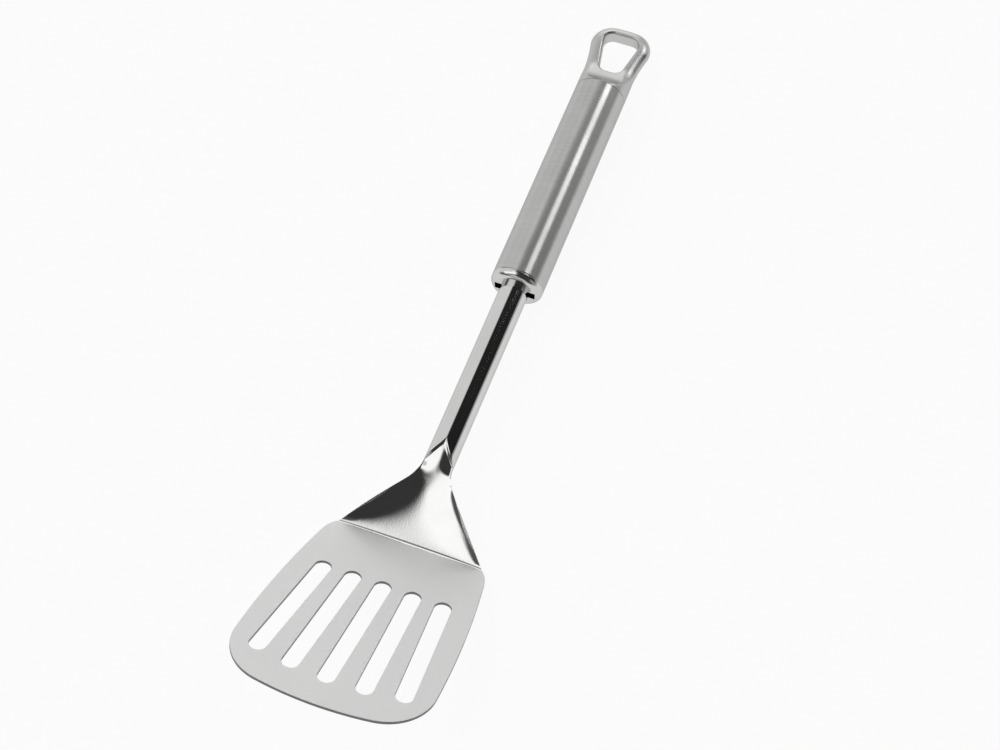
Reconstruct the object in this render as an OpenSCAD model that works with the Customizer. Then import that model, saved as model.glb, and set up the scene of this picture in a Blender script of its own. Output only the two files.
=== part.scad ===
// Slotted kitchen turner (fish slice), all stainless steel. It rests on its heel and on the
// underside of its handle, so the handle is level and the blade rises towards the front.
// X runs across, +Y towards the hanging eye, +Z up. The origin is on the resting surface,
// under the middle of the whole length.

/* [Blade] */
// Width of the blade at its widest
blade_w = 76.9; // [70:0.1:90]
// Length of the blade from the crease to its front edge
blade_l = 94.1; // [86:0.1:110]
// Thickness of the sheet
blade_t = 1.2; // [0.8:0.1:1.6]
// Angle between the blade and the handle
pitch = 28.4; // [20:0.1:35]
// Width of the blade at the crease
heel_w = 57.8; // [54:0.2:62]
// Radius of the bowed sides
side_r = 396; // [300:2:600]
// Radius of the bowed front edge
front_r = 121; // [90:1:200]
// Radius of the two front corners
corner_r = 20; // [12:0.5:24]
// Radius of the two shoulders beside the crease
shoulder_r = 13.3; // [9:0.1:16]
// Least distance by which the line of the sides passes outside the ends of the crease
shoulder_out = 0.5; // [0.2:0.1:1]

/* [Drain slots] */
// Number of slots
slot_count = 5; // [1:2:5]
// Width of a slot
slot_w = 6.6; // [5:0.1:7.5]
// Distance between slot centres at the crease end
slot_step = 12; // [10:0.1:12.5]
// Angle from each slot to the next
slot_fan = 2.3; // [0:0.05:2.6]
// Metal between the crease and the slots
slot_start = 24.6; // [12:0.2:30]
// Metal between the slots and the front edge
slot_margin = 11; // [6:0.2:16]

/* [Neck and stem] */
// Length of the dished neck, along the handle
neck_l = 24.6; // [20:0.2:30]
// Length over which the dish runs out into the round stem
scoop_l = 17.4; // [14:0.2:24]
// How much the neck has thickened where the dish starts to run out
neck_lift = 4.1; // [3:0.1:4.6]
// Roundness of the knee where the neck meets the stem
knee = 1.7; // [0.8:0.1:2.4]
// Length over which that knee runs out into the stem
knee_l = 6.2; // [4:0.2:16]
// Diameter of the stem
stem_d = 12; // [9:0.1:14]
// Crease to the face of the collar, along the handle
stem_reach = 113.4; // [90:0.2:130]
// Width of the flat tang inside the handle
tang_w = 11; // [6:0.5:14]
// Thickness of the tang
tang_t = 3.6; // [2.4:0.1:5]
// Length of the tang past the face of the collar
tang_l = 11; // [7:0.5:13]

/* [Handle tube] */
// Outer diameter of the tube
tube_d = 22; // [20:0.5:26]
// Wall of the tube
tube_wall = 1; // [0.8:0.1:1.5]
// Length of the tube
tube_l = 99.6; // [70:0.1:130]
// Bevel at the ends of the tube and at the collar's rear edge
seam_bevel = 0.25; // [0.1:0.05:0.4]

/* [Collar] */
// Length of the collar that shows
collar_l = 3.5; // [3.2:0.1:8]
// Rounding of the collar's front edge
collar_edge_r = 2.8; // [0.5:0.1:2.9]
// Thickness of the collar's front wall
web_t = 2.5; // [1.5:0.1:4]
// Length of the collar and cap spigots inside the tube
spigot_l = 9; // [6:0.5:14]
// Wall of the spigots
spigot_wall = 1.2; // [0.8:0.1:1.6]
// Radial clearance between a spigot and the tube
spigot_gap = 0.05; // [0.03:0.01:0.1]
// Width of the slot for the tang
keyway_w = 17.2; // [14.5:0.2:17.2]
// Clearance above and below the tang in its slot
keyway_gap = 0.2; // [0.1:0.05:0.4]
// Leg of the weld beads behind the collar's front wall
weld_leg = 1.6; // [1:0.1:2.5]

/* [Hanging cap] */
// Length of the cap that shows
cap_l = 35.9; // [34:0.1:44]
// Width of the cap at its widest
cap_w = 26.2; // [25.8:0.2:32]
// Thickness of the flattened loop
loop_t = 7; // [5:0.2:9]
// Radius of the loop's outer corners
loop_corner_r = 9.4; // [7:0.1:10]
// Radius of the loop's end
loop_end_r = 60; // [40:1:90]
// Straight length of the cap next to the tube
cap_straight = 8; // [1:0.5:10]
// Distance from the tube to where the loop reaches its thickness
scoop_end = 15; // [12:0.5:18]
// Height left on the cap where the flattening starts, below the tube's surface
scoop_step = 0.3; // [0.1:0.1:1]
// Length of the hanging eye
eye_l = 20.4; // [16:0.1:21]
// Width of the eye at its wide end
eye_wide = 17.3; // [13:0.1:18]
// Width of the eye at its narrow end
eye_narrow = 9.2; // [8:0.1:12]
// Radius of the eye's corners
eye_r = 4.1; // [1:0.1:4.5]
// Metal beyond the eye
eye_margin = 4.6; // [4:0.1:7]

/* [Hidden] */
$fn = 96;

// Greatest angle between two points of a drawn arc, and least steps of a long shallow one
arc_step = 6;
long_arc = 6;
// Steps across a section of the neck, and sections along its dish and along its run-out
neck_n = 14;
dish_rings = 9;
scoop_rings = 14;
// Power of the curve along which the rim of the neck climbs to the stem's axis
rim_power = 1.8;
// Thickness of the neck's rim at the end of the dish as a share of the sheet's, its least
// thickness further on, and depth of the last sections under the stem's skin
rim_wall = 0.5;
rim_edge = 0.02;
skin = 0.05;
// Overlap of the shapes that make up one solid, and of a cut past the face that it opens
overlap = 1;

polished = [0.82, 0.82, 0.82];
satin = [0.72, 0.72, 0.71];
filler = [0.55, 0.54, 0.52];

axis_z = tube_d / 2;
stem_r = stem_d / 2;
spigot_r = axis_z - tube_wall - spigot_gap;
half_w = blade_w / 2;
half_heel = heel_w / 2;

// The underside of the heel is level with the underside of the tube
waist_h = stem_r - blade_t;
bend = pitch + atan((axis_z - blade_t - waist_h) / neck_l);
heel_run = blade_t * tan(bend / 2);
crease_z = blade_t * cos(pitch) + heel_run * sin(pitch);
drop = axis_z - crease_z;
rise = (drop - waist_h) / neck_l;

// Stations along the handle, counted from the crease
tube_v = stem_reach + collar_l;
cap_v = tube_v + tube_l;
end_v = cap_v + cap_l;
tip_v = blade_l * cos(pitch) + blade_t * sin(pitch);
crease_y = (tip_v - end_v) / 2;

// Centres of the arcs of the blade's outline, with the crease at y = 0. The sides are bowed
// less where the blade is narrow or long, so that they always reach the shoulders
front_c = [0, front_r - blade_l];
corner_c = [half_w - corner_r,
            front_c.y - sqrt(pow(front_r - corner_r, 2) - pow(half_w - corner_r, 2))];
side_in = half_w - half_heel - shoulder_out;
bow_r = max(side_r, (corner_c.y * corner_c.y + side_in * side_in) / (2 * side_in));
side_c = [half_w - bow_r, corner_c.y];
heel_end = [half_heel, 0];
shoulder_c = circles_meet(side_c, bow_r - shoulder_r, heel_end, shoulder_r);

// Points of an arc about c from angle a to angle b, in no fewer steps than least
function arc(c, r, a, b, least = 1) =
    let (n = max(least, ceil(abs(b - a) / arc_step)))
    [for (i = [0:n]) c + r * [cos(a + (b - a) * i / n), sin(a + (b - a) * i / n)]];

function angle_of(v) = atan2(v.y, v.x);

// The meeting point of two circles that lies to the right of the line from c0 to c1
function circles_meet(c0, r0, c1, r1) =
    let (d = norm(c1 - c0), u = (c1 - c0) / d,
         along = (r0 * r0 - r1 * r1 + d * d) / (2 * d),
         aside = sqrt(r0 * r0 - along * along))
    c0 + along * u + aside * [u.y, -u.x];

function mirrored(points) =
    concat(points, [for (i = [len(points) - 1:-1:0]) [-points[i].x, points[i].y]]);

// A step from 0 to 1 with level ends, and a ramp whose kink at 0 is rounded over about k
function smooth(t) = let (c = min(max(t, 0), 1)) c * c * (3 - 2 * c);
function soft(x, k) = (x + sqrt(x * x + 4 * k * k)) / 2;

function unit(v) = v / norm(v);

// A convex outline with its corners rounded by r
function rounded(points, r) =
    let (n = len(points))
    [for (i = [0:n - 1])
        let (p = points[i],
             u = unit(points[(i + n - 1) % n] - p),
             w = unit(points[(i + 1) % n] - p),
             half = acos(u * w) / 2,
             c = p + unit(u + w) * r / sin(half),
             a = angle_of(p + u * r / tan(half) - c),
             b = angle_of(p + w * r / tan(half) - c),
             turn = b < a ? b + 360 : b)
        each arc(c, r, a, turn)];

// Places a shape that is drawn along +Z on the handle's axis, v beyond the crease
module on_handle(v) {
    translate([0, crease_y + v, axis_z]) rotate([-90, 0, 0]) children();
}

// Places a shape that is drawn in the plane of the blade, with the crease at y = 0
module on_blade() {
    translate([0, crease_y, crease_z]) rotate([-pitch, 0, 0]) children();
}

// Right half of the blade's outline, from the middle of its front edge to the crease
function right_side() =
    let (corner_a = angle_of(corner_c - front_c),
         side_b = angle_of(shoulder_c - side_c), heel_a = angle_of(heel_end - shoulder_c))
    concat(arc(front_c, front_r, -90, corner_a),
           arc(corner_c, corner_r, corner_a, 0),
           arc(side_c, bow_r, 0, side_b, long_arc),
           arc(shoulder_c, shoulder_r, side_b, heel_a),
           [[half_heel, heel_run]]);

// Drain slot number k, counted from the middle one, which is 0
module slot(k) {
    fan = slot_fan * k;
    top = [slot_step * k, -slot_start - slot_w / 2];
    way = [sin(fan), -cos(fan)];
    reach = front_r - slot_margin - slot_w / 2;
    back = top - front_c;
    run = -back * way + sqrt(pow(back * way, 2) - back * back + reach * reach);
    translate(top) rotate(fan) {
        translate([-slot_w / 2, -run]) square([slot_w, run]);
        circle(d = slot_w);
        translate([0, -run]) circle(d = slot_w);
    }
}

module blade_plate() {
    on_blade() translate([0, 0, -blade_t]) linear_extrude(blade_t) difference() {
        polygon(mirrored(right_side()));
        for (k = [-(slot_count - 1) / 2:(slot_count - 1) / 2]) slot(k);
    }
}

// Half width of the neck, height of its rim and heights of its middle, v beyond the crease
function neck_half(v) =
    stem_r + soft((half_heel - stem_r) * (1 - v / neck_l), knee)
    * (1 - smooth((v - neck_l) / knee_l));
function rim_h(v) = -drop * pow(max(0, 1 - v / neck_l), rim_power);
function top_h(v) =
    v < neck_l ? -drop + rise * v + neck_lift * pow(v / neck_l, 2)
               : let (t = min((v - neck_l) / scoop_l, 1), start = neck_lift - waist_h)
                 start + (stem_r - start) * smooth(t)
                 + (rise + 2 * neck_lift / neck_l) * scoop_l * t * pow(1 - t, 2);
function under_h(v) = v < neck_l ? -drop + rise * v - blade_t : -stem_r;

// One closed section of the neck: the upper side from left to right, then the underside.
// Past the dish the upper side is the ramp where that lies below the round stem's skin
function neck_section(v) =
    let (dished = smooth(v / neck_l), ended = smooth((v - neck_l) / knee_l),
         out = smooth((v - neck_l) / scoop_l), w = neck_half(v) - skin,
         rim_down = blade_t * (1 - dished * (1 - rim_wall * (1 - ended))) + rim_edge,
         rim = rim_h(v), top = top_h(v) - skin * out,
         under = under_h(v) + skin - rim + rim_down)
    concat([for (i = [0:neck_n])
                let (a = -90 + 180 * i / neck_n, c = cos(a))
                [w * sin(a), v,
                 v <= neck_l ? rim + (top - rim) * c * c
                             : min(top + (waist_h - neck_lift) * (1 - ended) * (1 - c * c),
                                   (stem_r - skin) * c)]],
           [for (i = [neck_n:-1:0])
                let (a = -90 + 180 * i / neck_n)
                [w * sin(a), v, rim - rim_down + under * pow(cos(a), 2 - dished)]]);

// The section that is buried in the rear edge of the blade, thinner than the blade
function buried_section() =
    let (top = -drop + overlap * tan(pitch) - blade_t / 4, w = half_heel - overlap)
    concat([for (i = [0:neck_n]) [w * sin(-90 + 180 * i / neck_n), -overlap, top]],
           [for (i = [neck_n:-1:0])
                [w * sin(-90 + 180 * i / neck_n), -overlap, top - blade_t / 2]]);

module neck() {
    stations = concat([blade_t / 2],
                      [for (i = [1:dish_rings]) neck_l * i / dish_rings],
                      [for (i = [1:scoop_rings]) neck_l + scoop_l * i / scoop_rings],
                      [neck_l + scoop_l + overlap]);
    rings = concat([buried_section()], [for (v = stations) neck_section(v)]);
    m = 2 * (neck_n + 1);
    last = (len(rings) - 1) * m;
    points = [for (ring = rings) each ring];
    sides = [for (k = [0:len(rings) - 2], i = [0:m - 1])
        let (a = k * m + i, b = k * m + (i + 1) % m)
        each [[a, a + m, b], [b, a + m, b + m]]];
    ends = [for (i = [0:neck_n - 1])
        let (j = m - 1 - i)
        each [[i, i + 1, j], [i + 1, j - 1, j],
              [last + i, last + j, last + i + 1], [last + i + 1, last + j, last + j - 1]]];
    translate([0, crease_y, axis_z]) polyhedron(points, concat(sides, ends));
}

module stem() {
    start = neck_l + scoop_l;
    on_handle(start) cylinder(r = stem_r, h = stem_reach - start);
    on_handle(stem_reach - overlap)
        translate([-tang_w / 2, -tang_t / 2, 0]) cube([tang_w, tang_t, tang_l + overlap]);
}

// Blade, dished neck, round stem and tang, pressed and forged in one piece
module blade_and_stem() {
    color(polished) union() {
        blade_plate();
        neck();
        stem();
    }
}

// Turned collar: front wall with the tang's slot, a ring that shows and a spigot
module front_collar() {
    r = tube_d / 2;
    e = collar_edge_r;
    bore_r = spigot_r - spigot_wall;
    color(polished) on_handle(stem_reach) difference() {
        rotate_extrude() {
            square([r - e, collar_l]);
            polygon([[0, e], [r, e], [r, collar_l - seam_bevel], [r - seam_bevel, collar_l],
                     [0, collar_l]]);
            intersection() {
                translate([r - e, e]) circle(r = e);
                square([r, e]);
            }
            square([spigot_r, collar_l + spigot_l]);
        }
        translate([0, 0, web_t]) cylinder(r = bore_r, h = collar_l + spigot_l);
        translate([-keyway_w / 2, -tang_t / 2 - keyway_gap, -overlap])
            cube([keyway_w, tang_t + 2 * keyway_gap, web_t + 2 * overlap]);
    }
}

// Weld beads that hold the tang to the back of the collar's front wall
module tang_weld() {
    color(filler) on_handle(stem_reach + web_t)
        for (side = [0, 1]) mirror([0, side, 0])
            translate([-tang_w / 2 + weld_leg / 2, tang_t / 2, 0]) rotate([90, 0, 90])
                linear_extrude(tang_w - weld_leg)
                    polygon([[0, 0], [keyway_gap + weld_leg, 0], [0, weld_leg]]);
}

// Thin round tube, bevelled at both ends, that slides over both spigots
module handle_tube() {
    r = tube_d / 2;
    inner = r - tube_wall;
    b = seam_bevel;
    color(satin) on_handle(tube_v) rotate_extrude()
        polygon([[inner, 0], [r - b, 0], [r, b], [r, tube_l - b], [r - b, tube_l],
                 [inner, tube_l]]);
}

// Half outline of the cap from the tube to the end of the loop, as [radius, height]
function cap_side() =
    let (r = tube_d / 2, rc = loop_corner_r, cx = cap_w / 2 - rc,
         end_c = [0, cap_l - loop_end_r],
         corner = [cx, end_c.y + sqrt(pow(loop_end_r - rc, 2) - cx * cx)],
         a = r - cx, b = corner.y - cap_straight,
         flank_r = (a * a + b * b - rc * rc) / (2 * (rc - a)),
         flank_c = [r + flank_r, cap_straight],
         flank_a = angle_of(flank_c - corner), end_a = angle_of(corner - end_c))
    concat([[0, 0], [r, 0]], arc(flank_c, flank_r, 180, 180 + flank_a, long_arc),
           arc(corner, rc, flank_a, end_a), arc(end_c, loop_end_r, end_a, 90));

// Half of the cap's side view: full round, scooped down to the loop's thickness
function cap_profile() =
    let (r = tube_d / 2 - scoop_step, t = loop_t / 2, rise_h = r - t,
         scoop_r = (rise_h * rise_h + scoop_end * scoop_end) / (2 * rise_h),
         c = [t + scoop_r, scoop_end])
    concat([[0, 0], [r, 0]], arc(c, scoop_r, 180 + asin(scoop_end / scoop_r), 180),
           arc([0, cap_l - t], t, 0, 90));

// End cap with its flattened loop and hanging eye, and a hollow spigot inside the tube
module hanging_cap() {
    eye_top = cap_l - eye_margin;
    eye = [[-eye_narrow / 2, eye_top - eye_l], [eye_narrow / 2, eye_top - eye_l],
           [eye_wide / 2, eye_top], [-eye_wide / 2, eye_top]];
    color(polished) on_handle(cap_v) {
        difference() {
            intersection() {
                rotate_extrude() polygon(cap_side());
                rotate([90, 0, 90]) translate([0, 0, -cap_w]) linear_extrude(2 * cap_w)
                    polygon(mirrored(cap_profile()));
            }
            rotate([90, 0, 0]) translate([0, 0, -tube_d]) linear_extrude(2 * tube_d)
                polygon(rounded(eye, eye_r));
        }
        translate([0, 0, -spigot_l]) difference() {
            cylinder(r = spigot_r, h = spigot_l + overlap);
            translate([0, 0, -overlap]) cylinder(r = spigot_r - spigot_wall, h = spigot_l);
        }
    }
}

blade_and_stem();
front_collar();
tang_weld();
handle_tube();
hanging_cap();
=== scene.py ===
"""Looks of the slotted kitchen turner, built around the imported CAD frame.

Sizes repeat the part's source, in millimetres. v counts along the handle from the crease.
"""
from math import atan, atan2, ceil, cos, hypot, pi, radians, sin, sqrt, tan

import bmesh
import bpy
import numpy as np
from mathutils import Matrix, Vector


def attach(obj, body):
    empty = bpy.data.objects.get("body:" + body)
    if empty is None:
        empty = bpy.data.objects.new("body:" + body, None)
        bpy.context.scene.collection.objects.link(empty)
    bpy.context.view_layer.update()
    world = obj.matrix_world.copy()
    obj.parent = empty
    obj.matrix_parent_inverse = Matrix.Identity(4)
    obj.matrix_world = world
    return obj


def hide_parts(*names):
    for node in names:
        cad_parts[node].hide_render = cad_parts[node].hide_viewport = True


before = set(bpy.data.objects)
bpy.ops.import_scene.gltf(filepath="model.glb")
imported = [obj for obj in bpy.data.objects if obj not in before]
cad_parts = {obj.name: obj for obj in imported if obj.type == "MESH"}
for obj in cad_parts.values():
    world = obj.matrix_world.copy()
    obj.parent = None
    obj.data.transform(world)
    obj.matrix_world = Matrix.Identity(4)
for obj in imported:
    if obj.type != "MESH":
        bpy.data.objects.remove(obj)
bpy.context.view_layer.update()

MM = 0.001
SAME = 1e-6  # millimetres under which two lengths count as one
JOIN, NO_LENGTH = 2e-6, 1e-6  # metres under which vertices join, and edges have no length

BLADE_W, BLADE_L, BLADE_T, PITCH = 76.9, 94.1, 1.2, radians(28.4)
HEEL_W, SIDE_R, FRONT_R, CORNER_R, SHOULDER_R = 57.8, 396, 121, 20, 13.3
SLOT_COUNT, SLOT_W, SLOT_STEP, SLOT_FAN = 5, 6.6, 12, radians(2.3)
SLOT_START, SLOT_MARGIN = 24.6, 11
NECK_L, SCOOP_L, KNEE, KNEE_L, LIFT, RIM_POWER = 24.6, 17.4, 1.7, 6.2, 4.1, 1.8
STEM_D, STEM_REACH, TANG_W, TANG_T, TANG_L = 12, 113.4, 11, 3.6, 11
TUBE_D, TUBE_WALL, TUBE_L, SEAM_BEVEL = 22, 1, 99.6, 0.25
COLLAR_L, COLLAR_EDGE_R, WEB_T = 3.5, 2.8, 2.5
SPIGOT_L, SPIGOT_WALL, SPIGOT_GAP = 9, 1.2, 0.05
KEYWAY_W, KEYWAY_GAP = 17.2, 0.2
CAP_L, CAP_W, LOOP_T, LOOP_CORNER_R, LOOP_END_R = 35.9, 26.2, 7, 9.4, 60
CAP_STRAIGHT, SCOOP_END, SCOOP_STEP = 8, 15, 0.3
EYE_L, EYE_WIDE, EYE_NARROW, EYE_R, EYE_MARGIN = 20.4, 17.3, 9.2, 4.1, 4.6

AXIS_Z = TUBE_D / 2
STEM_R = STEM_D / 2
SPIGOT_R = AXIS_Z - TUBE_WALL - SPIGOT_GAP
HALF_W, HALF_HEEL = BLADE_W / 2, HEEL_W / 2
WAIST_H = STEM_R - BLADE_T
BEND = PITCH + atan((AXIS_Z - BLADE_T - WAIST_H) / NECK_L)
HEEL_RUN = BLADE_T * tan(BEND / 2)
CREASE_Z = BLADE_T * cos(PITCH) + HEEL_RUN * sin(PITCH)
DROP = AXIS_Z - CREASE_Z
RISE = (DROP - WAIST_H) / NECK_L
TUBE_V = STEM_REACH + COLLAR_L
CAP_V = TUBE_V + TUBE_L
END_V = CAP_V + CAP_L
CREASE_Y = (BLADE_L * cos(PITCH) + BLADE_T * sin(PITCH) - END_V) / 2

# Looks only. The rounded bend reaches BEND_RUN each way from the crease.
BEND_RUN = 0.9
BLADE_EDGE, EYE_EDGE, LOOP_EDGE = 0.18, 1.1, 4.4

# The dish: how much of the sheet its rim keeps at the waist, and how sharply its sides turn up
RIM_WALL, CURL, CURL_POWER = 0.5, 0.6, 6

# Past the waist, the upper side bows down by CROWN, and walls rise on it to the stem's round,
# where RIDGE rounds them off. Their foot goes from WALL_FOOT inside the neck's side to its middle.
CROWN, RIDGE, WALL_FOOT, WALL_POWER, WALL_SOFT = 1.5, 0.5, 0.5, 1.75, 0.15

# The cap: how widely its turned and its scooped form blend, at the tube and past it, and where
# along it that body gives way to the flat loop.
BLEND_AT_TUBE, BLEND_GAIN, BLEND_RUN = 0.5, 5.0, 12
LOOP_FROM, LOOP_RUN = 3, 11
CAP_CENTRE = 0.45  # the share of the eye's length, from its far end, where the mesh is centred

# Steps of the meshes
EDGE_STEPS, BEND_STEPS, ACROSS, DISH_STEPS, RUN_OUT_STEPS = 4, 7, 96, 36, 64
TUBE_STEPS, COLLAR_STEPS, SPIGOT_STEPS = 192, 256, 96
CAP_AROUND, CAP_SEAM, CAP_ROWS, EYE_STEPS = 320, 64, 44, 6
TURNS = [-pi / 2 + pi * i / ACROSS for i in range(ACROSS + 1)]


def row_point(x, v, h):
    """A point in the part's frame, in metres, from its place across, along and above the axis."""
    return Vector((x, CREASE_Y + v, AXIS_Z + h)) * MM


def blade_point(x, y, z):
    """A point in the part's frame, in metres, from its place in the plane of the blade."""
    return Vector((x, CREASE_Y + y * cos(PITCH) + z * sin(PITCH),
                   CREASE_Z - y * sin(PITCH) + z * cos(PITCH))) * MM


def share(t):
    """t kept between 0 and 1."""
    return min(max(t, 0.0), 1.0)


def smooth(t):
    """0 to 1 with level ends, for a number or an array."""
    c = np.clip(t, 0, 1)
    return c * c * (3 - 2 * c)


def soft(x, k):
    """The greater of x and 0, with the corner rounded over about k."""
    return (x + sqrt(x * x + 4 * k * k)) / 2


def arc(c, r, a, b, step=radians(1.5)):
    """Points of the arc of radius r round c, from angle a to b."""
    n = max(1, ceil(abs(b - a) / step))
    return [(c[0] + r * cos(a + (b - a) * i / n), c[1] + r * sin(a + (b - a) * i / n))
            for i in range(n + 1)]


def angle_of(p, q):
    return atan2(q[1] - p[1], q[0] - p[0])


def no_repeats(points):
    kept = [points[0]]
    for p in points[1:]:
        if hypot(p[0] - kept[-1][0], p[1] - kept[-1][1]) > SAME:
            kept.append(p)
    return kept


def new_object(name, bm, smooth_all=True):
    bmesh.ops.recalc_face_normals(bm, faces=bm.faces)
    mesh = bpy.data.meshes.new(name)
    bm.to_mesh(mesh)
    bm.free()
    if smooth_all:
        for polygon in mesh.polygons:
            polygon.use_smooth = True
    obj = bpy.data.objects.new(name, mesh)
    bpy.context.scene.collection.objects.link(obj)
    return obj


def bake_modifiers(obj):
    """Makes the mesh what its modifiers show, and removes them."""
    bpy.context.view_layer.update()
    deps = bpy.context.evaluated_depsgraph_get()
    mesh = bpy.data.meshes.new_from_object(obj.evaluated_get(deps))
    old = obj.data
    obj.modifiers.clear()
    obj.data = mesh
    mesh.name = obj.name
    bpy.data.meshes.remove(old)


def sharpen(obj, limit):
    """Marks the edges that turn by more than limit as sharp, so the rest shade smoothly."""
    bm = bmesh.new()
    bm.from_mesh(obj.data)
    for edge in bm.edges:
        if len(edge.link_faces) == 2:
            edge.smooth = edge.calc_face_angle(0.0) < limit
    bm.to_mesh(obj.data)
    bm.free()


def skin_rows(bm, rows, closed=True):
    """Quads between rows of vertices, each row a ring when closed."""
    for a, b in zip(rows, rows[1:]):
        n = len(a)
        for i in range(n if closed else n - 1):
            j = (i + 1) % n
            bm.faces.new((a[i], a[j], b[j], b[i]))


def add_box(bm, low, high):
    for vert in bmesh.ops.create_cube(bm, size=1.0)["verts"]:
        vert.co = Vector([low[i] if vert.co[i] < 0 else high[i] for i in range(3)])


def join_close(bm):
    bmesh.ops.remove_doubles(bm, verts=bm.verts, dist=JOIN)
    bmesh.ops.dissolve_degenerate(bm, edges=bm.edges, dist=NO_LENGTH)


# Blade

def blade_half():
    """Right half of the outline in the blade's plane, from the front's middle to the bend."""
    front = (0, FRONT_R - BLADE_L)
    reach = sqrt((FRONT_R - CORNER_R) ** 2 - (HALF_W - CORNER_R) ** 2)
    corner = (HALF_W - CORNER_R, front[1] - reach)
    side = (HALF_W - SIDE_R, corner[1])
    heel = (HALF_HEEL, 0)
    r0, r1 = SIDE_R - SHOULDER_R, SHOULDER_R
    d = hypot(heel[0] - side[0], heel[1] - side[1])
    u = ((heel[0] - side[0]) / d, (heel[1] - side[1]) / d)
    along = (r0 * r0 - r1 * r1 + d * d) / (2 * d)
    aside = sqrt(r0 * r0 - along * along)
    shoulder = (side[0] + along * u[0] + aside * u[1], side[1] + along * u[1] - aside * u[0])
    corner_a, side_b = angle_of(front, corner), angle_of(side, shoulder)
    points = (arc(front, FRONT_R, -pi / 2, corner_a, step=radians(0.75)) +
              arc(corner, CORNER_R, corner_a, 0) +
              arc(side, SIDE_R, 0, side_b, step=radians(0.3)) +
              arc(shoulder, SHOULDER_R, side_b, angle_of(shoulder, heel)))
    points = no_repeats(points)
    kept = [p for p in points if p[1] < -BEND_RUN]
    p, q = kept[-1], points[len(kept)]
    t = (-BEND_RUN - p[1]) / (q[1] - p[1])
    return kept + [(p[0] + (q[0] - p[0]) * t, -BEND_RUN)]


def slot_loop(k):
    """Outline of drain slot k, clockwise, so that its normals point into the hole."""
    fan = SLOT_FAN * k
    top = (SLOT_STEP * k, -SLOT_START - SLOT_W / 2)
    way = (sin(fan), -cos(fan))
    reach = FRONT_R - SLOT_MARGIN - SLOT_W / 2
    back = (top[0], top[1] - (FRONT_R - BLADE_L))
    dot = back[0] * way[0] + back[1] * way[1]
    run = -dot + sqrt(dot ** 2 - back[0] ** 2 - back[1] ** 2 + reach ** 2)
    low = (top[0] + run * way[0], top[1] + run * way[1])
    r = SLOT_W / 2
    loop = (arc(top, r, fan, fan + pi, step=radians(4)) +
            arc(low, r, fan + pi, fan + 2 * pi, step=radians(4)))
    return loop[::-1]


def edge_rings(bm, points, closed):
    """Rings of vertices down the rounded edge of the sheet, from its top to its underside."""
    n = len(points)
    turns = [j / EDGE_STEPS * pi / 2 for j in range(EDGE_STEPS + 1)]
    profile = [(BLADE_EDGE * (1 - sin(a)), -BLADE_EDGE * (1 - cos(a))) for a in turns]
    profile += [(inset, -BLADE_T - z) for inset, z in profile[::-1]]
    normals = []
    for i in range(n):
        a = points[i - 1] if closed or i > 0 else points[i]
        b = points[(i + 1) % n] if closed or i < n - 1 else points[i]
        d = hypot(b[0] - a[0], b[1] - a[1])
        nx, ny = (b[1] - a[1]) / d, (a[0] - b[0]) / d
        normals.append((1 / nx, 0) if not closed and i in (0, n - 1) else (nx, ny))
    return [[bm.verts.new(blade_point(p[0] - inset * m[0], p[1] - inset * m[1], z))
             for p, m in zip(points, normals)] for inset, z in profile]


def build_blade():
    bm = bmesh.new()
    half = blade_half()
    chain = [(-x, y) for x, y in half[::-1]] + half[1:]
    outer = edge_rings(bm, chain, False)
    skin_rows(bm, outer, False)
    reach = (SLOT_COUNT - 1) // 2
    holes = [edge_rings(bm, slot_loop(k), True) for k in range(-reach, reach + 1)]
    for rings in holes:
        skin_rows(bm, rings)
    for face in bm.faces:
        face.smooth = True
    bm.faces.new([ring[0] for ring in outer] + [ring[-1] for ring in outer[::-1]])
    for level in (0, -1):
        loops = [outer[level]] + [rings[level] for rings in holes]
        edges = [bm.edges.get((loop[i], loop[(i + 1) % len(loop)])) for loop in loops
                 for i in range(len(loop))]
        bmesh.ops.triangle_fill(bm, use_beauty=True, edges=edges)
    return new_object("blade", bm, False)


# Neck, stem and tang

def neck_half(v):
    """Half the width of the neck."""
    ramp = soft((HALF_HEEL - STEM_R) * (1 - v / NECK_L), KNEE)
    return STEM_R + ramp * (1 - smooth((v - NECK_L) / KNEE_L))


def rim_h(v):
    """Height of the rims on both sides."""
    return -DROP * max(0.0, 1 - v / NECK_L) ** RIM_POWER


def top_h(v):
    """Height of the middle of the upper side: a ramp that steepens, then levels on the stem."""
    if v < NECK_L:
        return -DROP + RISE * v + LIFT * (v / NECK_L) ** 2
    t = share((v - NECK_L) / SCOOP_L)
    start, slope = LIFT - WAIST_H, RISE + 2 * LIFT / NECK_L
    return start + (STEM_R - start) * smooth(t) + slope * SCOOP_L * t * (1 - t) ** 2


def under_h(v):
    """Height of the middle of the underside."""
    return -DROP + RISE * v - BLADE_T if v < NECK_L else -STEM_R


def blended_min(a, b, k):
    """The lesser of two heights, with the ridge where they cross rounded over about k."""
    if k < SAME or abs(a - b) >= k:
        return min(a, b)
    return min(a, b) - (k - abs(a - b)) ** 2 / (4 * k)


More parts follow.
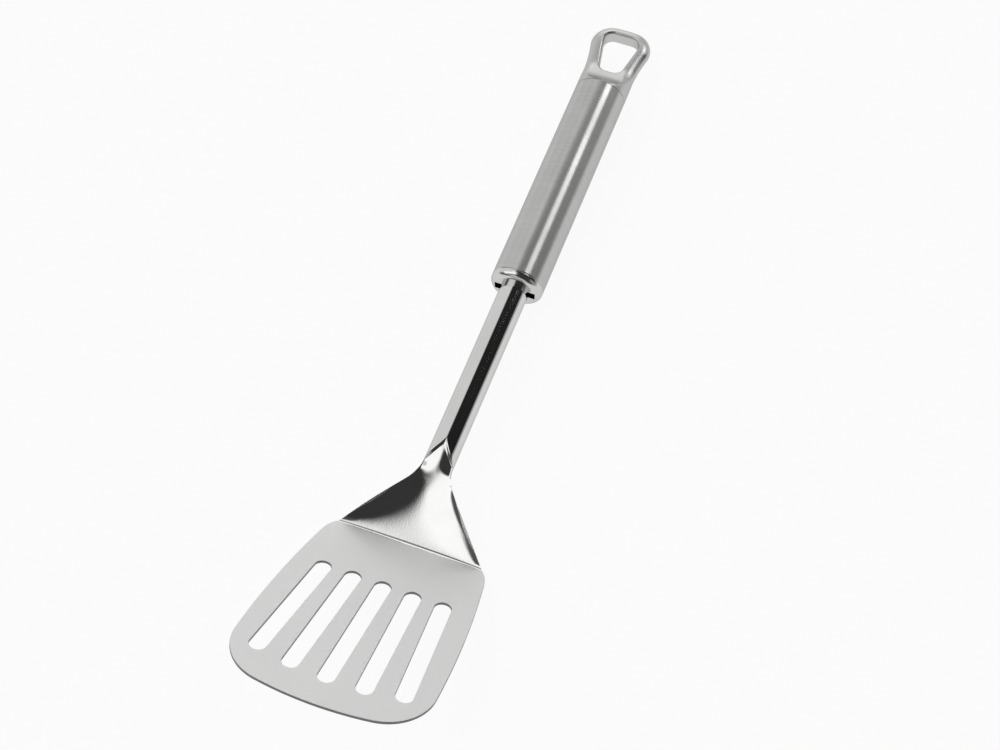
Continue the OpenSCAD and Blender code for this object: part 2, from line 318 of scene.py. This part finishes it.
def neck_section(v):
    """A closed section of the neck as (x, h): upper side left to right, then the underside."""
    dished, knee = smooth(v / NECK_L), smooth((v - NECK_L) / KNEE_L)
    t = share((v - NECK_L) / SCOOP_L)
    w, rim, power = neck_half(v), rim_h(v), 2 - dished
    rim_down = BLADE_T * (1 - dished * (1 - RIM_WALL * (1 - knee)))
    under = under_h(v) - rim + rim_down
    curl = CURL * (1 - dished / 2) * (1 - knee)
    bow = (WAIST_H - LIFT) * (1 - knee) - CROWN * knee
    tail = share((v - NECK_L - KNEE_L) / (SCOOP_L - KNEE_L))
    foot = w * (1 - tail) ** WALL_POWER - WALL_FOOT
    upper, lower = [], []
    for a in TURNS:
        s, c = sin(a), max(0.0, cos(a))
        turned_up = (1 - curl) * s * s + curl * s ** CURL_POWER
        h = top_h(v) + (rim - top_h(v)) * turned_up
        if t > 0:
            wall = soft(w * abs(s) - foot, WALL_SOFT) * knee
            h = blended_min(top_h(v) + bow * turned_up + wall, STEM_R * c, RIDGE * sin(pi * t))
        upper.append((w * s, h))
        lower.append((w * s, rim - rim_down + under * c ** power))
    return upper + lower[::-1]


def bend_rows():
    """Rows round the bend between the blade's plane and the start of the neck."""
    half = blade_half()[-1][0] - BLADE_EDGE / 4
    section = neck_section(BEND_RUN)
    rows = []
    for k in range(BEND_STEPS):
        t = k / BEND_STEPS
        row = []
        for i, (x, h) in enumerate(section):
            lower = i > ACROSS
            s = sin(TURNS[2 * ACROSS + 1 - i if lower else i])
            z, y = (-BLADE_T, HEEL_RUN) if lower else (0, 0)
            start = blade_point(half * s, -BEND_RUN, z)
            end = row_point(x, BEND_RUN, h)
            knee = blade_point(0, y, z)
            knee.x = (start.x + end.x) / 2
            row.append(start * (1 - t) ** 2 + knee * 2 * t * (1 - t) + end * t * t)
        rows.append(row)
    return rows


def build_neck():
    bm = bmesh.new()
    stations = [BEND_RUN + (NECK_L - BEND_RUN) * i / DISH_STEPS for i in range(DISH_STEPS + 1)]
    stations += [NECK_L + SCOOP_L * i / RUN_OUT_STEPS for i in range(1, RUN_OUT_STEPS + 1)]
    stations += [STEM_REACH - 1, STEM_REACH]
    rows = bend_rows()
    rows += [[row_point(x, v, h) for x, h in neck_section(v)] for v in stations]
    rings = [[bm.verts.new(p) for p in row] for row in rows]
    skin_rows(bm, rings)
    bm.faces.new(rings[0])
    bm.faces.new(rings[-1])
    join_close(bm)
    add_box(bm, row_point(-TANG_W / 2, STEM_REACH - 1, -TANG_T / 2),
            row_point(TANG_W / 2, STEM_REACH + TANG_L, TANG_T / 2))
    obj = new_object("neck_and_stem", bm)
    sharpen(obj, limit=radians(32))
    return obj


# Turned pieces

def lathe(bm, profile, v, segments):
    """Turns a closed profile of (radius, length) round the handle's axis, from v on."""
    rings = []
    for r, along in profile:
        if r < SAME:
            rings.append([bm.verts.new(row_point(0, v + along, 0))] * segments)
        else:
            rings.append([bm.verts.new(row_point(r * cos(2 * pi * i / segments), v + along,
                                                 r * sin(2 * pi * i / segments)))
                          for i in range(segments)])
    for a, b in zip(rings, rings[1:] + rings[:1]):
        for i in range(segments):
            j = (i + 1) % segments
            corners = []
            for vert in (a[i], a[j], b[j], b[i]):
                if vert not in corners:
                    corners.append(vert)
            if len(corners) > 2:
                bm.faces.new(corners)


def build_collar():
    bm = bmesh.new()
    e, rear = COLLAR_EDGE_R, COLLAR_L + SPIGOT_L
    edge = arc((AXIS_Z - e, e), e, -pi / 2, 0, step=radians(4))
    lathe(bm, [(0, 0)] + edge + [
        (AXIS_Z, COLLAR_L - SEAM_BEVEL), (AXIS_Z - SEAM_BEVEL, COLLAR_L), (SPIGOT_R, COLLAR_L),
        (SPIGOT_R, rear), (SPIGOT_R - SPIGOT_WALL, rear), (SPIGOT_R - SPIGOT_WALL, WEB_T),
        (0, WEB_T)], STEM_REACH, COLLAR_STEPS)
    obj = new_object("collar_ring", bm)
    cut = bmesh.new()
    add_box(cut, row_point(-KEYWAY_W / 2, STEM_REACH - 1, -TANG_T / 2 - KEYWAY_GAP),
            row_point(KEYWAY_W / 2, STEM_REACH + WEB_T + 1, TANG_T / 2 + KEYWAY_GAP))
    cutter = new_object("keyway_cutter", cut)
    modifier = obj.modifiers.new("keyway", "BOOLEAN")
    modifier.operation, modifier.solver, modifier.object = "DIFFERENCE", "EXACT", cutter
    bake_modifiers(obj)
    bpy.data.objects.remove(cutter)
    sharpen(obj, limit=radians(20))
    return obj


def build_tube():
    bm = bmesh.new()
    b = SEAM_BEVEL
    lathe(bm, [(AXIS_Z - TUBE_WALL, 0), (AXIS_Z - b, 0), (AXIS_Z, b), (AXIS_Z, TUBE_L - b),
               (AXIS_Z - b, TUBE_L), (AXIS_Z - TUBE_WALL, TUBE_L)], TUBE_V, TUBE_STEPS)
    obj = new_object("tube_shell", bm)
    sharpen(obj, limit=radians(20))
    return obj


# Hanging cap, in its own plane: x across, y from the tube to the loop's end

def cap_outline():
    """Right half of the cap's outline, from the tube to the end, and its flank's circle."""
    r, rc = AXIS_Z, LOOP_CORNER_R
    cx = CAP_W / 2 - rc
    end = (0, CAP_L - LOOP_END_R)
    corner = (cx, end[1] + sqrt((LOOP_END_R - rc) ** 2 - cx * cx))
    a, b = r - cx, corner[1] - CAP_STRAIGHT
    flank_r = (a * a + b * b - rc * rc) / (2 * (rc - a))
    flank = (r + flank_r, CAP_STRAIGHT)
    flank_a, end_a = angle_of(corner, flank), angle_of(end, corner)
    points = ([(r, 0)] + arc(flank, flank_r, pi, pi + flank_a, step=radians(0.5)) +
              arc(corner, rc, flank_a, end_a) +
              arc(end, LOOP_END_R, end_a, pi / 2, step=radians(0.5)))
    return np.array(no_repeats(points)), flank, flank_r


def eye_outline():
    top = CAP_L - EYE_MARGIN
    quad = [(-EYE_NARROW / 2, top - EYE_L), (EYE_NARROW / 2, top - EYE_L),
            (EYE_WIDE / 2, top), (-EYE_WIDE / 2, top)]
    points = []
    for i, p in enumerate(quad):
        p = Vector(p)
        u = (Vector(quad[i - 1]) - p).normalized()
        w = (Vector(quad[(i + 1) % 4]) - p).normalized()
        half = u.angle(w) / 2
        c = p + (u + w).normalized() * EYE_R / sin(half)
        a = angle_of(c, p + u * EYE_R / tan(half))
        b = angle_of(c, p + w * EYE_R / tan(half))
        points += arc(c, EYE_R, a, b + 2 * pi if b < a else b)
    return np.array(no_repeats(points + points[:1]))


def ray_reach(line, centre, ways):
    """How far each ray from the centre runs until it meets the polyline."""
    tiny = 1e-9
    a, b = line[:-1] - centre, line[1:] - centre
    best = np.zeros(len(ways))
    for k, w in enumerate(ways):
        sa, sb = w[0] * a[:, 1] - w[1] * a[:, 0], w[0] * b[:, 1] - w[1] * b[:, 0]
        hit = (sa * sb <= tiny) & (abs(sa - sb) > tiny)
        t = np.clip(sa[hit] / (sa[hit] - sb[hit]), 0, 1)
        p = a[hit] + (b[hit] - a[hit]) * t[:, None]
        best[k] = (p @ w).max()
    return best


def gap_to(line, points):
    """Distance from each point to the polyline."""
    a, d = line[:-1], np.diff(line, axis=0)
    best = np.full(len(points), np.inf)
    for p, q in zip(a, d):
        t = np.clip(((points - p) @ q) / (q @ q), 0, 1)
        best = np.minimum(best, np.linalg.norm(points - p - t[:, None] * q, axis=1))
    return best


def quarter(d, r):
    """Height of a rounded edge of radius r as a share of r, d in from the edge."""
    return np.sqrt(1 - (1 - np.clip(d / r, 0, 1)) ** 2)


def cap_height(points, outline, flank, flank_r, eye):
    """Half thickness of the cap over points of its plane."""
    x, y = np.abs(points[:, 0]), points[:, 1]
    width = np.where(y < CAP_STRAIGHT, AXIS_Z,
                     flank[0] - np.sqrt(flank_r ** 2 - (y - CAP_STRAIGHT) ** 2))
    turned = np.sqrt(np.maximum(width ** 2 - x ** 2, 0))
    t = LOOP_T / 2
    rise_h = AXIS_Z - SCOOP_STEP - t
    scoop_r = (rise_h ** 2 + SCOOP_END ** 2) / (2 * rise_h)
    run = np.maximum(SCOOP_END - y, 0)
    scoop = t + scoop_r - np.sqrt(scoop_r ** 2 - run ** 2)
    k = BLEND_AT_TUBE + BLEND_GAIN * smooth(y / BLEND_RUN)
    near = np.clip(1 - np.abs(turned - scoop) / k, 0, 1)
    body = np.maximum(np.minimum(turned, scoop) - near ** 2 * k / 4, 0)
    loop = scoop * quarter(gap_to(outline, np.stack([x, y], 1)), LOOP_EDGE)
    mix = smooth((y - LOOP_FROM) / LOOP_RUN)
    height = body * (1 - mix) + loop * mix
    return height - EYE_EDGE * (1 - quarter(gap_to(eye, points), EYE_EDGE))


def build_cap():
    """Both faces of the cap as rows of rings from the eye to the outline, and the spigot."""
    outline, flank, flank_r = cap_outline()
    eye = eye_outline()
    centre = np.array([0.0, CAP_L - EYE_MARGIN - EYE_L * CAP_CENTRE])
    whole = np.vstack([[[0.0, 0.0]], outline])
    whole = np.vstack([whole, whole[::-1] * [-1, 1]])
    corner_a = atan2(-centre[1], AXIS_Z)
    rest = CAP_AROUND - CAP_SEAM
    turns = [corner_a - (pi + 2 * corner_a) * i / CAP_SEAM for i in range(CAP_SEAM)]
    turns += [-pi - corner_a - (pi - 2 * corner_a) * i / rest for i in range(rest)]
    ways = np.array([[cos(a), sin(a)] for a in turns])
    inner = centre + ways * ray_reach(eye, centre, ways)[:, None]
    outer = centre + ways * ray_reach(whole, centre, ways)[:, None]
    seam = outer[:, 1] < SAME
    shares = [(1 - cos(pi * i / CAP_ROWS)) / 2 for i in range(CAP_ROWS + 1)]
    grid = np.concatenate([inner + (outer - inner) * s for s in shares])
    height = cap_height(grid, outline, flank, flank_r, eye).reshape(CAP_ROWS + 1, CAP_AROUND)
    grid = grid.reshape(CAP_ROWS + 1, CAP_AROUND, 2)
    height[-1][~seam] = 0
    bm = bmesh.new()
    sides = []
    for side in (1, -1):
        sides.append([[bm.verts.new(row_point(p[0], CAP_V + p[1], side * h))
                       for p, h in zip(line, tall)] for line, tall in zip(grid, height)])
        skin_rows(bm, sides[-1])
    wall = [sides[0][0]]
    wall += [[bm.verts.new(row_point(p[0], CAP_V + p[1], h * (1 - 2 * j / EYE_STEPS)))
              for p, h in zip(grid[0], height[0])] for j in range(1, EYE_STEPS)]
    wall += [sides[1][0]]
    skin_rows(bm, wall)
    join_close(bm)
    bmesh.ops.holes_fill(bm, edges=[e for e in bm.edges if e.is_boundary], sides=0)
    lathe(bm, [(SPIGOT_R, -SPIGOT_L), (SPIGOT_R, 0), (SPIGOT_R - SPIGOT_WALL, 0),
               (SPIGOT_R - SPIGOT_WALL, -SPIGOT_L)], CAP_V, SPIGOT_STEPS)
    obj = new_object("cap_body", bm)
    sharpen(obj, limit=radians(35))
    return obj


# Materials

MIRROR_TINT = (0.7, 0.7, 0.7, 1)  # of glancing reflections
HAIRS_FROM, HAIRS_TO = 22, 34  # where along the neck its coarse hairlines fade out


class Nodes:
    """Short names for the nodes of one material or world."""

    def __init__(self, owner):
        owner.use_nodes = True
        self.tree = owner.node_tree
        self.tree.nodes.clear()

    def add(self, kind, inputs=(), **settings):
        node = self.tree.nodes.new(kind)
        for key, value in settings.items():
            setattr(node, key, value)
        for key, value in dict(inputs).items():
            if hasattr(value, "is_output"):
                self.tree.links.new(value, node.inputs[key])
            else:
                node.inputs[key].default_value = value
        return node

    def place(self):
        return self.add("ShaderNodeTexCoord").outputs["Object"]

    def noise(self, amount, detail=3.0, stretch=(1, 1, 1)):
        """Noise in the part's own frame, with amount times stretch features a metre."""
        spread = self.add("ShaderNodeMapping", {"Vector": self.place(), "Scale": stretch})
        return self.add("ShaderNodeTexNoise", {"Vector": spread.outputs[0], "Scale": amount,
                                               "Detail": detail, "Roughness": 0.55}).outputs[0]

    def span(self, value, low, high, start=0.3, stop=0.7):
        return self.add("ShaderNodeMapRange", {"Value": value, "From Min": start, "From Max": stop,
                                               "To Min": low, "To Max": high}).outputs[0]

    def tint(self, value, dark, light):
        """A colour that goes from dark to light over the middle of a noise."""
        ramp = self.add("ShaderNodeValToRGB", {"Fac": value})
        for stop, at, color in zip(ramp.color_ramp.elements, (0.3, 0.7), (dark, light)):
            stop.position, stop.color = at, (*color, 1)
        return ramp.outputs[0]

    def bump(self, height, depth, strength):
        return self.add("ShaderNodeBump", {"Height": height, "Distance": depth * MM,
                                           "Strength": strength}).outputs[0]

    def surface(self, **inputs):
        named = {key.replace("_", " "): value for key, value in inputs.items()}
        shader = self.add("ShaderNodeBsdfPrincipled", named)
        self.add("ShaderNodeOutputMaterial", {"Surface": shader.outputs[0]})


def polished():
    """Mirror polish of the neck and stem, with coarser hairlines in the dish than on the stem."""
    material = bpy.data.materials.new("polished_steel")
    n = Nodes(material)
    cloud = n.noise(90)
    hairs = n.noise(34, detail=4, stretch=(70, 1.6, 70))
    along = n.add("ShaderNodeSeparateXYZ", {0: n.place()}).outputs[1]
    coarse = n.span(along, 0.9, 0.12, (CREASE_Y + HAIRS_FROM) * MM, (CREASE_Y + HAIRS_TO) * MM)
    n.surface(Base_Color=n.tint(cloud, (0.61, 0.61, 0.60), (0.65, 0.65, 0.64)), Metallic=1.0,
              Roughness=n.span(hairs, 0.03, 0.08),
              Normal=n.bump(hairs, depth=0.012, strength=coarse), Specular_Tint=MIRROR_TINT)
    return material


def buffed(name, dark, light, smooth_end, rough_end):
    """Steel that was only buffed, so it mirrors the room in soft patches."""
    material = bpy.data.materials.new(name)
    n = Nodes(material)
    cloud = n.noise(120, detail=4)
    wear = n.noise(420)
    n.surface(Base_Color=n.tint(cloud, (dark, dark, dark - 0.01), (light, light, light - 0.01)),
              Metallic=1.0, Roughness=n.span(cloud, smooth_end, rough_end),
              Normal=n.bump(wear, depth=0.02, strength=0.15), Specular_Tint=MIRROR_TINT)
    return material


def satin_blade():
    """Satin sheet, whose edges all round and in the slots carry painted shade: colour darkened to
    stand in for the dark reflections on them.
    """
    material = bpy.data.materials.new("satin_blade")
    n = Nodes(material)
    cloud = n.noise(55, detail=4)
    grain = n.noise(40, detail=4, stretch=(90, 1, 40))
    normal = n.add("ShaderNodeTexCoord").outputs["Normal"]
    facing = n.add("ShaderNodeVectorMath", {0: normal, 1: (0, sin(PITCH), cos(PITCH))},
                   operation="DOT_PRODUCT").outputs["Value"]
    flat = n.add("ShaderNodeMath", {0: facing}, operation="ABSOLUTE").outputs[0]
    steel = n.tint(cloud, (0.71, 0.71, 0.705), (0.75, 0.75, 0.745))
    # Painted shade: the colour darkens where the surface turns away from the sheet's faces, on its
    # edges and slot walls.
    painted_edge_shade = n.span(flat, 0.3, 1.0, 0.5, 0.97)
    color = n.add("ShaderNodeVectorMath", {0: steel, "Scale": painted_edge_shade}, operation="SCALE").outputs[0]
    n.surface(Base_Color=color, Metallic=0.75, Roughness=n.span(cloud, 0.46, 0.53),
              Normal=n.bump(grain, depth=0.01, strength=0.1))
    return material


def satin_tube():
    """Satin brushed round the tube, so its highlight spreads along the handle."""
    material = bpy.data.materials.new("satin_tube")
    n = Nodes(material)
    cloud = n.noise(60)
    rings = n.noise(26, detail=4, stretch=(1, 110, 1))
    tangent = n.add("ShaderNodeTangent", direction_type="RADIAL", axis="Y").outputs[0]
    n.surface(Base_Color=n.tint(rings, (0.49, 0.49, 0.48), (0.55, 0.55, 0.54)), Metallic=1.0,
              Roughness=n.span(cloud, 0.25, 0.31),
              Normal=n.bump(rings, depth=0.01, strength=0.5), Anisotropic=0.8,
              Anisotropic_Rotation=0.25, Tangent=tangent, Specular_Tint=MIRROR_TINT)
    return material


def weld():
    material = bpy.data.materials.new("weld_metal")
    n = Nodes(material)
    ripples = n.noise(900)
    n.surface(Base_Color=n.tint(ripples, (0.44, 0.42, 0.39), (0.56, 0.55, 0.53)), Metallic=1.0,
              Roughness=n.span(ripples, 0.38, 0.6),
              Normal=n.bump(ripples, depth=0.2, strength=0.6))
    return material


def dress(obj, material):
    obj.data.materials.clear()
    obj.data.materials.append(material)


def finish_piece(obj, material, node):
    dress(obj, material)
    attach(obj, "root")
    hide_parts(node)


finish_piece(build_blade(), satin_blade(), "blade_and_stem")
finish_piece(build_neck(), polished(), "blade_and_stem")
finish_piece(build_collar(), buffed("buffed_collar", 0.58, 0.64, 0.14, 0.2),
             "front_collar")
finish_piece(build_tube(), satin_tube(), "handle_tube")
finish_piece(build_cap(), buffed("buffed_cap", 0.52, 0.58, 0.3, 0.38),
             "hanging_cap")
dress(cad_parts["tang_weld"], weld())


# Floor, light and camera

FLOOR_REACH = 4.0  # metres to each side
FLOOR_GLOW = 0.93  # how much of the seen floor is plain white, and not cloth with its shadows
BARE_SKY = 0.85  # level where no panel is


def build_floor():
    """White to the camera and in reflections, so that only a faint shadow shows on it."""
    bm = bmesh.new()
    bmesh.ops.create_grid(bm, x_segments=1, y_segments=1, size=FLOOR_REACH)
    floor = new_object("floor", bm, False)
    material = bpy.data.materials.new("pale_floor")
    n = Nodes(material)
    path = n.add("ShaderNodeLightPath").outputs
    seen = n.add("ShaderNodeMath", {0: path["Is Camera Ray"], 1: path["Is Glossy Ray"]},
                 operation="ADD").outputs[0]
    seen = n.add("ShaderNodeMath", {0: seen, 1: path["Is Transmission Ray"]},
                 operation="ADD", use_clamp=True).outputs[0]
    glow = n.add("ShaderNodeMath", {0: seen, 1: FLOOR_GLOW}, operation="MULTIPLY").outputs[0]
    cloth = n.add("ShaderNodeBsdfDiffuse", {"Color": (0.9, 0.9, 0.9, 1)}).outputs[0]
    white = n.add("ShaderNodeEmission", {"Color": (1, 1, 1, 1), "Strength": 1.0}).outputs[0]
    mixed = n.add("ShaderNodeMixShader", {0: glow, 1: cloth, 2: white}).outputs[0]
    n.add("ShaderNodeOutputMaterial", {"Surface": mixed})
    dress(floor, material)


# The studio round the turner, as soft-edged panels of the sky: level, then the range of the
# angle about the handle's axis from straight up towards +X, then the range of the angle
# towards +Y, then how soft those edges are, all in degrees. Later panels cover earlier ones.
PANELS = [
    (0.50, (72, 400), (-100, 100), (10, 5)),
    (0.90, (-400, -8), (14, 31), (3, 1)),
    (0.12, (-200, -64), (-100, -16), (8, 5)),
    (1.50, (-64, -8), (-39, -8), (6, 5)),
    (1.50, (-27, -8), (-39, 11), (5, 3)),
    (0.12, (-140, 10), (-53, -39), (10, 4)),
    (0.20, (-15, 6), (-46, -31), (5, 4)),
    (0.05, (-9, 80), (-64, 20), (6, 6)),
    (0.38, (56, 82), (-30, 3), (6, 4)),
    (0.02, (-14, 78), (8, 31), (5, 1)),
    (0.72, (-400, -52), (31, 42), (6, 1)),
    (0.30, (-52, -12), (31, 42), (5, 1)),
    (0.75, (-12, 78), (31, 100), (6, 1)),
    (4.40, (21, 44), (31, 45), (4, 1)),
    (0.58, (-12, 78), (46, 100), (6, 2)),
    (0.88, (-400, -12), (42, 100), (6, 3)),
    (1.80, (-64, -8), (47, 60), (6, 4)),
    (1.32, (-125, -8), (64, 100), (12, 5)),
]


def build_world():
    """The panels as one level of light, from the angles of each direction about the handle."""
    world = bpy.data.worlds.new("studio")
    bpy.context.scene.world = world
    n = Nodes(world)
    way = n.add("ShaderNodeTexCoord").outputs["Generated"]
    split = n.add("ShaderNodeSeparateXYZ", {0: way}).outputs
    about = n.add("ShaderNodeMath", {0: split[0], 1: split[2]}, operation="ARCTAN2").outputs[0]
    along = n.add("ShaderNodeMath", {0: split[1]}, operation="ARCSINE").outputs[0]

    def edge(value, at, softness, low, high):
        return n.add("ShaderNodeMapRange", {
            "Value": value, "From Min": radians(at - softness), "From Max": radians(at + softness),
            "To Min": low, "To Max": high}, interpolation_type="SMOOTHSTEP").outputs[0]

    def both(a, b):
        return n.add("ShaderNodeMath", {0: a, 1: b}, operation="MULTIPLY").outputs[0]

    def between(value, ends, softness):
        return both(edge(value, ends[0], softness, 0.0, 1.0),
                    edge(value, ends[1], softness, 1.0, 0.0))

    level = BARE_SKY
    for value, turn, tilt, soft_by in PANELS:
        mask = both(between(about, turn, soft_by[0]), between(along, tilt, soft_by[1]))
        level = n.add("ShaderNodeMapRange",
                      {"Value": mask, "To Min": level, "To Max": value}).outputs[0]
    sky = n.add("ShaderNodeBackground", {"Color": (1, 1, 1, 1), "Strength": level}).outputs[0]
    n.add("ShaderNodeOutputWorld", {"Surface": sky})


def build_camera():
    """The photograph's camera: its right, up and backward directions, and its place."""
    right, up = (0.93409, 0.35626, -0.02373), (-0.30318, 0.8265, 0.47431)
    back, place = (0.18859, -0.43586, 0.88004), (148.22, -332.71, 664.27)
    turn = Matrix((right, up, back)).transposed().to_4x4()
    data = bpy.data.cameras.new("camera")
    data.lens, data.sensor_width = 68.007, 36.0
    data.clip_start, data.clip_end = 0.05, 20.0
    camera = bpy.data.objects.new("camera", data)
    bpy.context.scene.collection.objects.link(camera)
    camera.matrix_world = Matrix.Translation(Vector(place) * MM) @ turn
    bpy.context.scene.camera = camera


build_floor()
build_world()
build_camera()
bpy.context.scene.view_settings.view_transform = "Standard"
